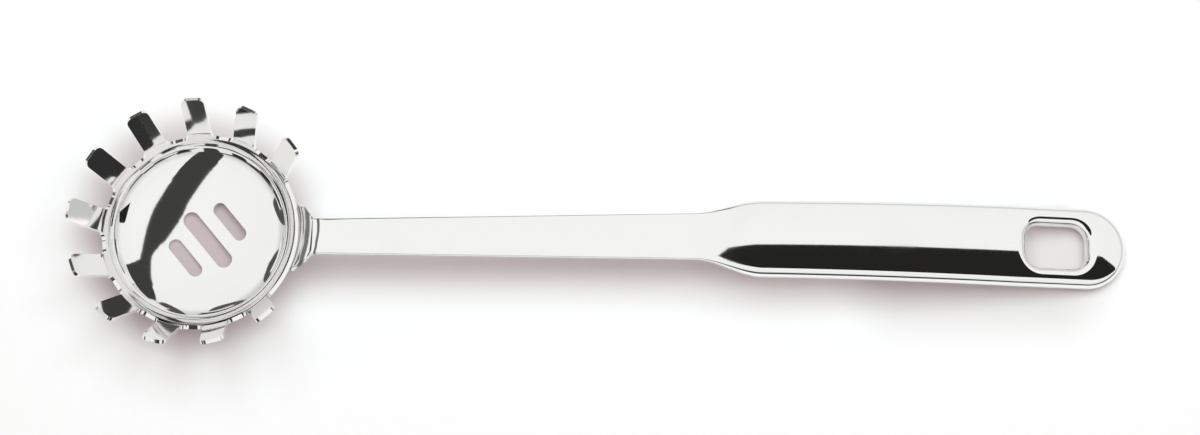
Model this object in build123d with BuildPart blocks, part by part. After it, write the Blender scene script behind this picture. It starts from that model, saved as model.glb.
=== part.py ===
"""Pasta server: a dished, slotted head with eleven folded prongs, spot-welded to a pressed handle.

Frame: +X runs along the handle to its hanging end, +Z up, Z = 0 the table it rests on.
The bowl's underside and the end of the handle touch the table. Lengths in mm, angles in degrees.
"""
from build123d import *
from math import asin, atan, cos, degrees, radians, sin, sqrt, tan
import os

# Head blank and bowl
sheet = 1.2
rim_radius = 28.9
bowl_depth = 11.0
knuckle_radius = 12.0
wall_angle = 70.0
fold_height = 2.4
head_x = -119.85
head_y = -0.32
head_tilt = 5.7
head_turn = 5.0

# Prongs
prong_count = 11
prong_step = 27.2
prong_turn = -2.1
prong_width = 7.0
prong_length = 13.2
prong_angle = 56.5
prong_tip_radius = 1.7
prong_root_radius = 2.3

# Drain slots
slot_angle = -45.5
slot_pitch = 8.6
long_slot_length = 21.4
long_slot_width = 5.0
short_slot_length = 14.2
short_slot_width = 4.2

# Handle foot and gooseneck
foot_half_width = 10.2
foot_end_half_width = 7.6
foot_reach_angle = 34.0
foot_rise = 0.8
bend_radius = 4.8
neck_landing = 5.0

# Neck
neck_sheet = 1.5
neck_start_width = 10.7
neck_end_width = 14.0
neck_end_x = 28.0
neck_crown_radius = 110.0
edge_radius = 0.35

# Grip
grip_start_x = 48.5
grip_start_width = 23.2
grip_end_width = 24.7
grip_depth = 4.5
grip_crown_radius = 58.0
grip_edge_radius = 2.6
end_x = 159.67

# Hanging hole
hole_x = 137.8
hole_length = 19.0
hole_width = 13.2
hole_corner = 4.6
collar_width = 3.0
collar_depth = 3.2
collar_taper = 26.0
mouth_radius = 2.2

# Spot welds
nugget_diameter = 4.2
nugget_spacing = 10.4
nugget_angle = 55.0
nugget_bite = 0.55
seat_clearance = 0.05

# Shares of each stretch of the handle at which its sections are drawn
foot_shares = (0.0, 0.2, 0.4, 0.6, 0.8, 1.0)
bend_shares = (0.0, 0.15, 0.3, 0.45, 0.6, 0.75, 0.88, 1.0)
shoulder_shares = (0.0, 0.15, 0.32, 0.5, 0.68, 0.85, 1.0)
grip_shares = (0.0, 0.25, 0.5, 0.75, 1.0)
inner_corner_share = 0.45
arch_rounds = 60

# How far cutting bodies run past what they cut
overrun = 30.0

# Bowl section: a dish arc and a tighter knuckle arc that ends at the rim, tangent to each other
knuckle_r = rim_radius - knuckle_radius * sin(radians(wall_angle))
knuckle_z = knuckle_radius * cos(radians(wall_angle))
knuckle_drop = bowl_depth + knuckle_z
dish_radius = (knuckle_r**2 + knuckle_drop**2 - knuckle_radius**2) / (2 * (knuckle_drop - knuckle_radius))
dish_centre_z = dish_radius - bowl_depth
join_angle = degrees(asin(knuckle_r / (dish_radius - knuckle_radius)))
head_z = dish_radius + sheet - dish_centre_z * cos(radians(head_tilt))

tilt = radians(head_tilt)
head_plane = Plane(origin=(head_x, head_y, head_z), x_dir=(cos(tilt), 0, sin(tilt)), z_dir=(-sin(tilt), 0, cos(tilt)))
# The head's own frame, turned about its axis so that its local X points at the handle
head_frame = head_plane.rotated((0, 0, -head_turn))


def on_dish(angle, radius_gain=0.0):
    """Point of the dish arc at a slope angle, on the inner face or further out."""
    a = radians(angle)
    return ((dish_radius + radius_gain) * sin(a), dish_centre_z - (dish_radius + radius_gain) * cos(a))


def on_knuckle(angle, radius_gain=0.0):
    """Point of the knuckle arc at a slope angle, on the inner face or further out."""
    a = radians(angle)
    return (knuckle_r + (knuckle_radius + radius_gain) * sin(a),
            knuckle_z - (knuckle_radius + radius_gain) * cos(a))


def along(point, angle, length, out=0.0):
    """Point at a length along a slope from another one, and out from the face."""
    a = radians(angle)
    return (point[0] + length * cos(a) + out * sin(a), point[1] + length * sin(a) - out * cos(a))


fold_point = along((rim_radius, 0), wall_angle, fold_height / sin(radians(wall_angle)))
fold_half = (wall_angle - prong_angle) / 2
fold_out = along(fold_point, prong_angle + fold_half, 0, sheet / cos(radians(fold_half)))
tip_reach = prong_length + sheet

with BuildPart() as keep:
    # Everything below the rim stays; above it only the prongs
    with BuildSketch(head_frame.offset(-overrun)):
        Circle(rim_radius + overrun)
    extrude(amount=overrun)
    for index in range(prong_count):
        azimuth = 180 + prong_turn + (index - (prong_count - 1) / 2) * prong_step
        a = radians(azimuth)
        slope = radians(prong_angle)
        radial = head_frame.x_dir * cos(a) + head_frame.y_dir * sin(a)
        across = head_frame.y_dir * cos(a) - head_frame.x_dir * sin(a)
        outward = radial * sin(slope) - head_frame.z_dir * cos(slope)
        foot_point = head_frame.origin + radial * fold_point[0] + head_frame.z_dir * fold_point[1]
        root_y = -fold_height / sin(slope)
        root_width = prong_width + 4 * prong_root_radius
        with BuildSketch(Plane(origin=foot_point, x_dir=across, z_dir=outward)) as blank:
            with Locations((0, (prong_length + root_y) / 2)):
                Rectangle(prong_width, prong_length - root_y)
            with Locations((0, root_y - fold_height / 2)):
                Rectangle(root_width, fold_height)
            inner = blank.vertices().filter_by(
                lambda v: abs(v.Y - root_y) < sheet / 10 and abs(abs(v.X) - prong_width / 2) < sheet / 10)
            fillet(inner, prong_root_radius)
            fillet(blank.vertices().group_by(Axis.Y)[-1], prong_tip_radius)
        extrude(amount=2 * sheet, both=True)

# Spot welds: discs of fused metal that reach into both sheets at the seat
spot_welds = []
for side in (-1, 1):
    seat_r, seat_z = on_knuckle(nugget_angle, sheet)
    turn = asin(side * nugget_spacing / 2 / seat_r)
    radial = head_frame.x_dir * cos(turn) + head_frame.y_dir * sin(turn)
    seat = head_frame.origin + radial * seat_r + head_frame.z_dir * seat_z
    slope = radians(nugget_angle)
    outward = radial * sin(slope) - head_frame.z_dir * cos(slope)
    with BuildPart() as spot_weld:
        with BuildSketch(Plane(origin=seat, z_dir=outward)):
            Circle(nugget_diameter / 2)
        extrude(amount=nugget_bite, both=True)
    spot_welds.append(spot_weld.part)

with BuildPart() as head:
    with BuildSketch(Plane(head_frame.origin, x_dir=head_frame.x_dir, z_dir=-head_frame.y_dir)) as section:
        with BuildLine():
            inner_join = on_dish(join_angle)
            outer_join = on_dish(join_angle, sheet)
            inner_mid = on_dish(join_angle / 2)
            outer_mid = on_dish(join_angle / 2, sheet)
            ThreePointArc((0, -bowl_depth), inner_mid, inner_join)
            ThreePointArc(inner_join, on_knuckle((join_angle + wall_angle) / 2), (rim_radius, 0))
            Polyline((rim_radius, 0), fold_point, along(fold_point, prong_angle, tip_reach),
                     along(fold_point, prong_angle, tip_reach, sheet), fold_out, on_knuckle(wall_angle, sheet))
            ThreePointArc(on_knuckle(wall_angle, sheet), on_knuckle((join_angle + wall_angle) / 2, sheet), outer_join)
            ThreePointArc(outer_join, outer_mid, (0, -bowl_depth - sheet))
            Line((0, -bowl_depth - sheet), (0, -bowl_depth))
        make_face()
    revolve(axis=Axis(head_frame.origin, head_frame.z_dir))
    add(keep.part, mode=Mode.INTERSECT)
    with BuildSketch(head_frame.rotated((0, 0, slot_angle))):
        SlotOverall(long_slot_length, long_slot_width)
        with Locations((0, slot_pitch), (0, -slot_pitch)):
            SlotOverall(short_slot_length, short_slot_width)
    extrude(amount=-overrun, mode=Mode.SUBTRACT)
    add(spot_welds, mode=Mode.SUBTRACT)
head.part.label = "head"


def band(half_width, crown, corner, depth, bottom_rise):
    """Draw a section: a crowned or hollow top, rounded corners, straight sides and a nearly flat bottom.

    crown is the top's signed radius, negative where the sides stand higher than the middle.
    """
    reach = abs(crown - corner)
    side = 1 if crown > 0 else -1
    corner_y = -crown + side * sqrt(reach**2 - (half_width - corner)**2)
    unit_x = (half_width - corner) / reach
    unit_y = (corner_y + crown) / reach
    top_x = abs(crown) * unit_x
    top_y = -crown + abs(crown) * unit_y
    mid_x = half_width - corner + corner * (1 + unit_x) / 2 / sqrt(((1 + unit_x)**2 + unit_y**2) / 4)
    mid_y = corner_y + corner * abs(unit_y) / 2 / sqrt(((1 + unit_x)**2 + unit_y**2) / 4)
    return (half_width, corner_y, mid_x, mid_y, top_x, top_y, depth, bottom_rise)


def draw_band(plane, half_width, crown, corner, depth, bottom_rise):
    """Closed section on a plane, its top middle at the plane's origin."""
    w, corner_y, mid_x, mid_y, top_x, top_y, depth, rise = band(half_width, crown, corner, depth, bottom_rise)
    with BuildSketch(plane) as shape:
        with BuildLine():
            Line((-w, rise - depth), (-w, corner_y))
            ThreePointArc((-w, corner_y), (-mid_x, mid_y), (-top_x, top_y))
            ThreePointArc((-top_x, top_y), (0, 0), (top_x, top_y))
            ThreePointArc((top_x, top_y), (mid_x, mid_y), (w, corner_y))
            Line((w, corner_y), (w, rise - depth))
            ThreePointArc((w, rise - depth), (0, -depth), (-w, rise - depth))
        make_face()
    return shape.sketch


def across(origin, tangent, lateral):
    """Plane across the handle's path, its local X sideways and its local Y out of the top face."""
    sideways = (lateral - tangent * lateral.dot(tangent)).normalized()
    return Plane(origin=origin, x_dir=sideways, z_dir=tangent)


# Foot and gooseneck: up the outside of the bowl's wall, then over into the neck
def in_meridian(r, z):
    """Point of the head's meridian that faces the handle."""
    return head_frame.origin + head_frame.x_dir * r + head_frame.z_dir * z


forward = Vector(1, 0, 0)
sideways = Vector(0, 1, 0)
level_angle = -degrees(atan(head_frame.x_dir.Z / head_frame.z_dir.Z))
rim_out = on_knuckle(wall_angle, sheet + seat_clearance)
bend_start = along(rim_out, wall_angle, foot_rise)
bend_centre = along(bend_start, wall_angle, 0, bend_radius)
bend_end = along(bend_centre, level_angle, 0, -bend_radius)
foot_stations = []
for share in foot_shares:
    angle = foot_reach_angle + share * (wall_angle - foot_reach_angle)
    half_width = foot_end_half_width + (foot_half_width - foot_end_half_width) * sin(share * radians(90))
    foot_stations.append((on_knuckle(angle, sheet + seat_clearance), angle, half_width, 0.0))
for share in bend_shares:
    angle = wall_angle + share * (level_angle - wall_angle)
    point = along(bend_centre, angle, 0, -bend_radius)
    reach = (point[0] - rim_out[0]) / (bend_end[0] - rim_out[0])
    half_width = foot_half_width + (neck_start_width / 2 - foot_half_width) * reach
    foot_stations.append((point, angle, half_width, share))
gooseneck_sections = []
for (r, z), angle, half_width, share in foot_stations:
    a = radians(angle)
    tangent = (head_frame.x_dir * cos(a) + head_frame.z_dir * sin(a)) * (1 - share) + forward * share
    lateral = head_frame.y_dir * (1 - share) + sideways * share
    curvature = share / neck_crown_radius - (1 - share) * sin(a) / r
    plane = across(in_meridian(r, z), tangent.normalized(), lateral)
    gooseneck_sections.append(draw_band(plane, half_width, 1 / curvature, edge_radius, neck_sheet,
                                        -curvature * half_width**2 / 2))
neck_start = in_meridian(*bend_end)
landing = neck_start + forward * neck_landing
neck_rise = -(neck_start_width / 2)**2 / 2 / neck_crown_radius
gooseneck_sections.append(draw_band(across(landing, forward, sideways), neck_start_width / 2, neck_crown_radius,
                                    edge_radius, neck_sheet, neck_rise))

# The grip's arch: level along the neck, bent down as far as the hanging hole, and straight from there,
# at the angle that brings the end's lower edge to the table
end_radius = grip_end_width / 2
end_centre_x = end_x - end_radius
straight_x = hole_x - hole_length / 2 - collar_width
arch_length = straight_x - neck_end_x
arch_angle = 0.0
for step in range(arch_rounds):
    straight_drop = (end_centre_x - straight_x) * tan(arch_angle) + end_radius * sin(arch_angle)
    arch_drop = landing.Z - grip_depth * cos(arch_angle) - straight_drop
    arch_angle = (arch_angle + 2 * atan(arch_drop / arch_length)) / 2
arch_radius = arch_length / sin(arch_angle)


def on_arch(x):
    """Plane across the handle at a distance along X, on its top face."""
    arch_x = min(max(x, neck_end_x), straight_x)
    turn = asin((arch_x - neck_end_x) / arch_radius)
    drop = arch_radius * (1 - cos(turn)) + (max(x, straight_x) - straight_x) * tan(turn)
    origin = Vector(x, landing.Y, landing.Z - drop)
    return across(origin, Vector(cos(turn), 0, -sin(turn)), sideways)


def shoulder(share):
    """Smooth step from the neck's section to the grip's."""
    return share * share * (3 - 2 * share)


def grip_station(x, share, inner=False):
    """Section of the grip's outside, or of the hollow under it, at a share of the shoulder's way."""
    along_grip = min(max(x - grip_start_x, 0) / (straight_x - grip_start_x), 1)
    full_width = grip_start_width + (grip_end_width - grip_start_width) * along_grip
    half_width = (neck_end_width + (full_width - neck_end_width) * share) / 2
    curvature = (1 - share) / neck_crown_radius + share / grip_crown_radius
    corner = edge_radius + (grip_edge_radius - edge_radius) * share
    rise = -half_width**2 / 2 / neck_crown_radius
    depth = neck_sheet + (grip_depth + rise - neck_sheet) * share
    if inner:
        plane = on_arch(x)
        lowered = Plane(origin=plane.origin - plane.y_dir * neck_sheet, x_dir=plane.x_dir, z_dir=plane.z_dir)
        return (lowered, half_width - neck_sheet, 1 / curvature - neck_sheet, corner * inner_corner_share, depth, rise)
    return (on_arch(x), half_width, 1 / curvature, corner, depth, rise)


shoulder_xs = [neck_end_x + share * (grip_start_x - neck_end_x) for share in shoulder_shares]
shoulder_steps = [shoulder(share) for share in shoulder_shares]
grip_xs = [grip_start_x + share * (straight_x - grip_start_x) for share in grip_shares]
shoulder_stations = list(zip(shoulder_xs, shoulder_steps))
grip_stations = [(x, 1.0) for x in grip_xs]
end_stations = [(x, 1.0) for x in (straight_x, end_centre_x)]
shoulder_outer = [draw_band(*grip_station(x, share)) for x, share in shoulder_stations]
shoulder_inner = [draw_band(*grip_station(x, share, inner=True)) for x, share in shoulder_stations[1:]]
grip_outer = [draw_band(*grip_station(x, share)) for x, share in grip_stations]
grip_inner = [draw_band(*grip_station(x, share, inner=True)) for x, share in grip_stations]
end_outer = [draw_band(*grip_station(x, share)) for x, share in end_stations]
end_inner = [draw_band(*grip_station(x, share, inner=True)) for x, share in end_stations]
neck_sections = [gooseneck_sections[-1], shoulder_outer[0]]


def draw_half_band(plane, half_width, crown, corner, depth, bottom_rise):
    """Half of a section, from its middle to one side, to be turned into the rounded end."""
    w, corner_y, mid_x, mid_y, top_x, top_y, depth, rise = band(half_width, crown, corner, depth, bottom_rise)
    quarter = top_x / 2
    quarter_y = -crown + sqrt(crown**2 - quarter**2)
    with BuildSketch(plane) as shape:
        with BuildLine():
            Line((0, rise - depth), (0, 0))
            ThreePointArc((0, 0), (quarter, quarter_y), (top_x, top_y))
            ThreePointArc((top_x, top_y), (mid_x, mid_y), (w, corner_y))
            Polyline((w, corner_y), (w, rise - depth), (0, rise - depth))
        make_face()
    return shape.sketch


end_plane = on_arch(end_centre_x)
end_axis = Axis(end_plane.origin, end_plane.y_dir)
outer_half = draw_half_band(*grip_station(end_centre_x, 1.0))
inner_half = draw_half_band(*grip_station(end_centre_x, 1.0, inner=True))

with BuildPart() as hollow:
    loft(sections=shoulder_inner, ruled=True)
    loft(sections=grip_inner, ruled=True)
    loft(sections=end_inner, ruled=True)
    revolve(inner_half, axis=end_axis, revolution_arc=-180)

hole_plane = on_arch(hole_x)
collar_frame = Plane(origin=hole_plane.origin - hole_plane.y_dir * neck_sheet / 2, x_dir=hole_plane.z_dir,
                     z_dir=-hole_plane.y_dir)


def is_mouth_edge(edge):
    """True for the edges round the top of the hanging hole."""
    middle = edge.position_at(0.5) - hole_plane.origin
    inside = abs(middle.dot(hole_plane.z_dir)) < hole_length / 2 + collar_width / 2
    beside = abs(middle.dot(hole_plane.x_dir)) < hole_width / 2 + collar_width / 2
    return inside and beside and middle.dot(hole_plane.y_dir) > -neck_sheet


with BuildPart() as handle:
    loft(sections=gooseneck_sections[::-1], ruled=True)
    loft(sections=neck_sections, ruled=True)
    loft(sections=shoulder_outer, ruled=True)
    loft(sections=grip_outer, ruled=True)
    loft(sections=end_outer, ruled=True)
    revolve(outer_half, axis=end_axis, revolution_arc=-180)
    add(hollow.part, mode=Mode.SUBTRACT)
    # Collar: the sheet drawn down round the hanging hole, thinning towards its lower lip
    with BuildSketch(collar_frame):
        RectangleRounded(hole_length + 2 * collar_width, hole_width + 2 * collar_width, hole_corner + collar_width)
    extrude(amount=collar_depth, taper=collar_taper)
    with BuildSketch(collar_frame):
        RectangleRounded(hole_length, hole_width, hole_corner)
    extrude(amount=overrun, both=True, mode=Mode.SUBTRACT)
    mouth = handle.edges().filter_by(is_mouth_edge)
    fillet(mouth, mouth_radius)
    add(spot_welds, mode=Mode.SUBTRACT)
handle.part.label = "handle"

os.makedirs("parts", exist_ok=True)
export_step(head.part, "parts/head.step")
export_step(handle.part, "parts/handle.step")
for index, weld in enumerate(spot_welds):
    weld.label = f"spot_weld_{index + 1}"
    export_step(weld, f"parts/spot_weld_{index + 1}.step")
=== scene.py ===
"""Pasta server in polished steel: a dished, slotted head with eleven folded prongs on a pressed handle.

Lengths are metres in the scene and are given below in millimetres through the MM factor.
"""
from math import asin, atan, cos, hypot, pi, radians, sin, sqrt, tan

import bmesh
import bpy
from mathutils import Matrix, Vector
from mathutils.geometry import delaunay_2d_cdt


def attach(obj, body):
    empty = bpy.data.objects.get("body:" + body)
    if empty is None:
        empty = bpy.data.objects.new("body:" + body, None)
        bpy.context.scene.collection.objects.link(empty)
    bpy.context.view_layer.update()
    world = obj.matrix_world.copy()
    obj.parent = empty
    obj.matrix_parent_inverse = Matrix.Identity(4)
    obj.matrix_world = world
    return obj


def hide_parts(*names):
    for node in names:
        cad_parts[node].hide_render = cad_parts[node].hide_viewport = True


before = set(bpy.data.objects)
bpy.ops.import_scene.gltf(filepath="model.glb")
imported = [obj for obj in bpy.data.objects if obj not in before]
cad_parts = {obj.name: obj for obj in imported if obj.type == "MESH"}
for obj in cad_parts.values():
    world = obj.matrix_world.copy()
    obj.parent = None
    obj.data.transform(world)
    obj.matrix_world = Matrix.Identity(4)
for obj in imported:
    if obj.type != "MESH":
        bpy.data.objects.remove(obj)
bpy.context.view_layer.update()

bl_info = {
    "name": "Pasta Server",
    "version": (1, 0, 0),
    "blender": (4, 5, 0),
    "location": "3D View > Sidebar > Pasta Server",
    "description": "Builds a pronged pasta server in polished steel and the pale table that it lies on",
    "category": "Add Mesh",
}

MM = 0.001
BODY = "root"

# Points closer than this are one point, in metres
HEAD_MERGE = 0.000002
HANDLE_MERGE = 0.000003

# How finely the meshes are divided
DISH_ROWS = 8
KNUCKLE_ROWS = 18
PRONG_COLUMNS = 15
CORNER_STEPS = 10
FOLD_STEPS = 5
PRONG_ROWS = 11
REAR_COLUMNS = 30
CROWN_STEPS = 6
EDGE_STEPS = 5
FOOT_STEPS = 12
GOOSENECK_STEPS = 20
NECK_STEPS = 30
SHOULDER_STEPS = 28
GRIP_STEPS = 36
END_SIDE_STEPS = 22
END_ROUND_STEPS = 60
GROUND_ROWS = 9
ROLL_STEPS = 12
SLOT_ROUND_STEPS = 18
GUARD_ROUND_STEPS = 14
EDGE_SEGMENTS = 3
# Edges sharper than this are rounded
SHARP_EDGE = radians(40.0)
# How much closer together the columns lie near a prong's sides
END_CROWDING = 0.35
# The bowl's middle: lines of points round the slots, spacing of the free points, their distances from the slots
# and from the ring, the step along a slot's straight sides, and the distance at which two points become one
SLOT_GUARDS = (0.45 * MM, 1.1 * MM)
GRID_SPACING = 1.0 * MM
GRID_FROM_SLOTS = 1.55 * MM
GRID_FROM_RING = 0.6 * MM
SLOT_STEP = 0.9 * MM
SAME_POINT = 1e-7
# Rounds of narrowing down on the handle's arch and on the hole's outline
ARCH_TRIES = 60
OUTLINE_TRIES = 40
# Node spacing in the editor, and nodes in a row
NODE_SPACING = (260, -340)
NODES_IN_ROW = 8


# Properties

def length(name, description, value, smallest=0.0):
    """A length property given in millimetres."""
    return bpy.props.FloatProperty(name=name, description=description, default=value * MM, min=smallest * MM,
                                   unit="LENGTH", precision=5)


def angle(name, description, value):
    """An angle property given in degrees."""
    return bpy.props.FloatProperty(name=name, description=description, default=radians(value), unit="ROTATION")


def place(name, description, value):
    """A place property given in millimetres."""
    return bpy.props.FloatVectorProperty(name=name, description=description, size=3,
                                         default=[v * MM for v in value], subtype="TRANSLATION", precision=5)


def colour(name, description, value):
    """A colour property."""
    return bpy.props.FloatVectorProperty(name=name, description=description, size=3, default=value,
                                         min=0.0, max=1.0, subtype="COLOR")


def amount(name, description, value):
    """A share or strength from nought to one."""
    return bpy.props.FloatProperty(name=name, description=description, default=value, min=0.0, max=1.0,
                                   subtype="FACTOR")


class HeadSizes(bpy.types.PropertyGroup):
    """Sizes of the dished head, its prongs and its drain slots."""
    origin: place("Rim centre", "Middle of the rim, from which the dish hangs", (-119.85, -0.32, 12.46))
    lean: angle("Lean", "Tilt of the head towards its far end", 5.7)
    turn: angle("Turn", "Turn of the head away from the handle's line", 5.0)
    sheet: length("Sheet", "Thickness of the head's sheet", 1.2, 0.1)
    rim_radius: length("Rim radius", "Inner radius of the rim", 28.9, 5.0)
    bowl_depth: length("Bowl depth", "Depth of the dish below the rim", 11.0, 1.0)
    knuckle_radius: length("Knuckle radius", "Radius between the dish and the wall", 12.0, 1.0)
    wall_angle: angle("Wall angle", "Slope of the wall at the rim", 70.0)
    fold_height: length("Fold height", "Height of the prongs' fold above the rim", 2.4)
    fold_radius: length("Fold radius", "Radius of the prongs' fold", 2.2, 0.1)
    prong_count: bpy.props.IntProperty(name="Prongs", description="Number of prongs", default=11, min=3)
    prong_step: angle("Prong step", "Angle between neighbouring prongs", 27.2)
    prong_turn: angle("Prong turn", "Turn of the row of prongs about the head's axis", -2.1)
    prong_width: length("Prong width", "Width between a prong's straight sides", 7.0, 1.0)
    prong_length: length("Prong length", "Length of a prong above its fold", 13.05, 1.0)
    prong_angle: angle("Prong angle", "Slope of a prong above its fold", 56.5)
    tip_radius: length("Tip radius", "Radius of a prong's two outer corners", 1.7, 0.1)
    root_radius: length("Root radius", "Radius between a prong and the rim", 2.3, 0.1)
    slot_angle: angle("Slot angle", "Direction of the drain slots", -45.5)
    slot_pitch: length("Slot pitch", "Distance between neighbouring slots", 8.6, 1.0)
    long_slot: length("Long slot", "Length of the middle slot", 21.4, 1.0)
    long_slot_width: length("Long slot width", "Width of the middle slot", 5.0, 0.5)
    short_slot: length("Short slot", "Length of the outer slots", 14.2, 1.0)
    short_slot_width: length("Short slot width", "Width of the outer slots", 4.2, 0.5)
    edge_round: length("Edge rounding", "Rounding of the cut edges", 0.28, 0.01)


class HandleSizes(bpy.types.PropertyGroup):
    """Sizes of the pressed handle from its welded foot to its hanging end."""
    sheet: length("Sheet", "Thickness of the handle's sheet", 1.5, 0.1)
    seat_gap: length("Seat gap", "Gap between the foot and the bowl's wall", 0.05)
    foot_half_width: length("Foot half width", "Half width of the foot at the rim", 10.2, 1.0)
    foot_end_half_width: length("Foot end half width", "Half width of the foot's lower end", 7.6, 1.0)
    foot_reach: angle("Foot reach", "Slope of the bowl at which the foot ends", 34.0)
    foot_rise: length("Foot rise", "Height of the foot above the rim before it bends", 0.8)
    bend_radius: length("Bend radius", "Radius of the bend into the neck", 4.8, 1.0)
    landing: length("Landing", "Level stretch after the bend", 5.0)
    neck_start_width: length("Neck start width", "Width of the neck at the bend", 10.7, 1.0)
    neck_end_width: length("Neck end width", "Width of the neck at the shoulder", 14.0, 1.0)
    neck_end: length("Neck end", "Place along the handle where the shoulder starts", 28.0)
    neck_crown: length("Neck crown", "Radius of the neck's crowned top", 75.0, 10.0)
    neck_edge: length("Neck edge", "Rounding of the neck's edges", 0.4, 0.01)
    grip_start: length("Grip start", "Place along the handle where the shoulder ends", 48.5)
    grip_start_width: length("Grip start width", "Width of the grip at the shoulder", 23.2, 1.0)
    grip_end_width: length("Grip end width", "Width of the grip at its end", 24.7, 1.0)
    grip_depth: length("Grip depth", "Depth of the grip's turned-down sides", 4.5, 1.0)
    grip_crown: length("Grip crown", "Radius of the grip's crowned top", 58.0, 10.0)
    grip_edge: length("Grip edge", "Radius of the turned-down edge", 2.6, 0.2)
    end: length("End", "Place of the handle's end", 159.67)
    hole_place: length("Hole place", "Place of the hanging hole along the handle", 137.8)
    hole_length: length("Hole length", "Clear length of the hanging hole", 19.0, 1.0)
    hole_width: length("Hole width", "Clear width of the hanging hole", 13.2, 1.0)
    hole_corner: length("Hole corner", "Corner radius of the hanging hole", 4.6, 0.1)
    roll_width: length("Roll width", "Width of the rolled rim round the hole", 3.0, 0.1)
    roll_depth: length("Roll depth", "Depth of the rolled rim round the hole", 2.6, 0.1)
    lip_depth: length("Lip depth", "Depth of the collar's lower lip", 3.95, 0.1)
    lip_sheet: length("Lip sheet", "Thickness of the drawn collar at its lip", 1.1, 0.1)
    edge_round: length("Edge rounding", "Rounding of the cut edges", 0.28, 0.01)


class SteelFinish(bpy.types.PropertyGroup):
    """Colour and polish of the steel."""
    steel_colour: colour("Steel", "Colour of the polished steel", (0.895, 0.892, 0.885))
    weld_colour: colour("Weld", "Colour of the fused weld nuggets", (0.46, 0.44, 0.42))
    roughness: amount("Roughness", "Roughness of the polished faces", 0.045)
    weld_roughness: amount("Weld roughness", "Roughness of the weld nuggets", 0.42)
    scratches: amount("Scratches", "Strength of the fine polishing marks", 0.35)
    smudges: amount("Smudges", "Strength of the handling marks", 0.3)
    waviness: amount("Waviness", "Strength of the pressed sheet's slow waviness", 0.5)


class StudioSettings(bpy.types.PropertyGroup):
    """Camera and table."""
    table_colour: colour("Table", "Colour of the table", (0.93, 0.925, 0.92))
    lens: bpy.props.FloatProperty(name="Lens", description="Focal length in millimetres", default=90.0, min=10.0,
                                  unit="CAMERA")
    camera_distance: length("Camera distance", "Distance of the camera from what it looks at", 900.0, 100.0)
    camera_height: angle("Camera height", "Angle of the camera above the table", 74.98)
    target: place("Target", "Point that the camera looks at", (0.0, 3.97, 12.46))


# Helpers

def change(made, **settings):
    """Several settings of a thing at once."""
    for key, value in settings.items():
        setattr(made, key, value)
    return made


def mix(start, end, share):
    """A value between two others."""
    return start + (end - start) * share


def stepped(start, end, count):
    """Values from start to end in equal steps."""
    return [start + (end - start) * k / count for k in range(count + 1)]


def scene_object(name, data):
    """A new object in the scene."""
    made = bpy.data.objects.new(name, data)
    bpy.context.scene.collection.objects.link(made)
    return made


def mesh_object(name, vertices, faces):
    """A new object in the scene from lists of points and faces."""
    mesh = bpy.data.meshes.new(name)
    mesh.from_pydata([tuple(v) for v in vertices], [], faces)
    return scene_object(name, mesh)


def baked(made):
    """Turn a modified object into a plain mesh with the same name and material."""
    graph = bpy.context.evaluated_depsgraph_get()
    mesh = bpy.data.meshes.new_from_object(made.evaluated_get(graph), preserve_all_data_layers=True, depsgraph=graph)
    made.modifiers.clear()
    old = made.data
    made.data = mesh
    bpy.data.meshes.remove(old)


def finish_sheet(made, width, material):
    """Round the sharp edges, keep the broad faces' shading, and give the plain mesh its material."""
    change(made.modifiers.new("rounded_edges", "BEVEL"), width=width, segments=EDGE_SEGMENTS,
           limit_method="ANGLE", angle_limit=SHARP_EDGE, harden_normals=True, use_clamp_overlap=True)
    baked(made)
    made.data.materials.clear()
    made.data.materials.append(material)


def close_up(shape, distance):
    """Join points that lie together, turn the faces one way and shade them smoothly."""
    bmesh.ops.remove_doubles(shape, verts=shape.verts, dist=distance)
    bmesh.ops.recalc_face_normals(shape, faces=shape.faces)
    for face in shape.faces:
        face.smooth = True


def spread(count):
    """Count values from -1 to 1, closer together near the ends."""
    even = [2 * k / (count - 1) - 1 for k in range(count)]
    return [sin(radians(90 * value)) * END_CROWDING + value * (1 - END_CROWDING) for value in even]


# Node helpers

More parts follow.
